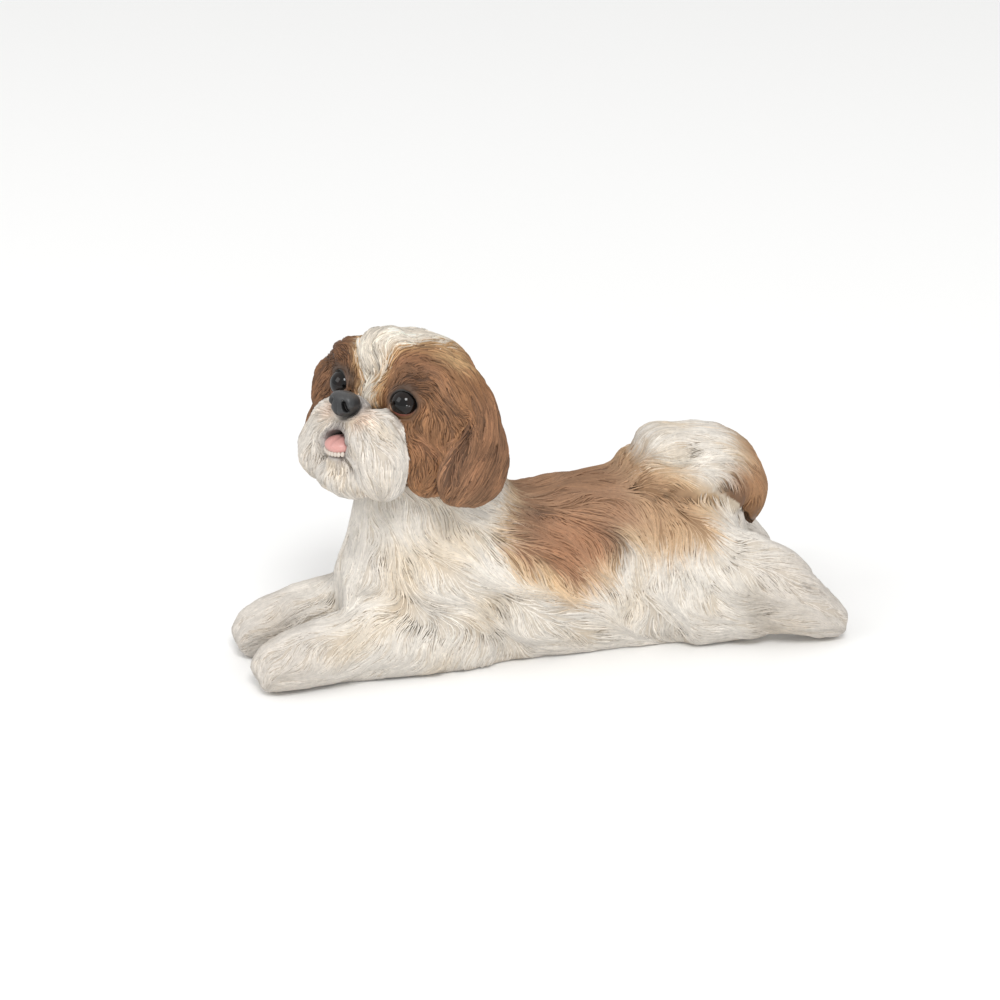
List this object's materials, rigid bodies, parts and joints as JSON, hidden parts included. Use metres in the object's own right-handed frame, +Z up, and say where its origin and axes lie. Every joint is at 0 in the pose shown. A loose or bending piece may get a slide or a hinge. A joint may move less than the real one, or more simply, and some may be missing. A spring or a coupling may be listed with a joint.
{
  "type": "shih tzu statue",
  "caption": "Cast and painted statue of a shih tzu lying stretched out with its head raised, for display on a floor or shelf.",
  "frame": {"origin": "middle of the floor area, on the flat underside", "axes": "+Z up, the nose end towards -Y and the dog's left side towards +X"},
  "size_m": [0.161, 0.3934, 0.2238],
  "materials": {
    "resin_cream": "painted matte, brown-grey wash in the grooves",
    "resin_tan": "painted matte, tan and reddish brown over cream",
    "resin_brown": "painted matte dark brown",
    "nose_charcoal": "painted satin charcoal",
    "eye_glass": "polished, nearly black",
    "tongue_pink": "painted satin pink",
    "teeth_white": "painted off-white"
  },
  "bodies": {
    "root": {"torso": "resin_tan", "neck": "resin_cream", "head": "resin_brown", "muzzle": "resin_cream", "chin": "resin_cream", "ear_left": "resin_brown", "ear_right": "resin_brown", "eye_left": "eye_glass", "eye_right": "eye_glass", "nose": "nose_charcoal", "tongue": "tongue_pink", "teeth": "teeth_white", "foreleg_left": "resin_cream", "foreleg_right": "resin_cream", "hindleg_left": "resin_cream", "hindleg_right": "resin_cream", "tail": "resin_tan"}
  },
  "joints": []
}
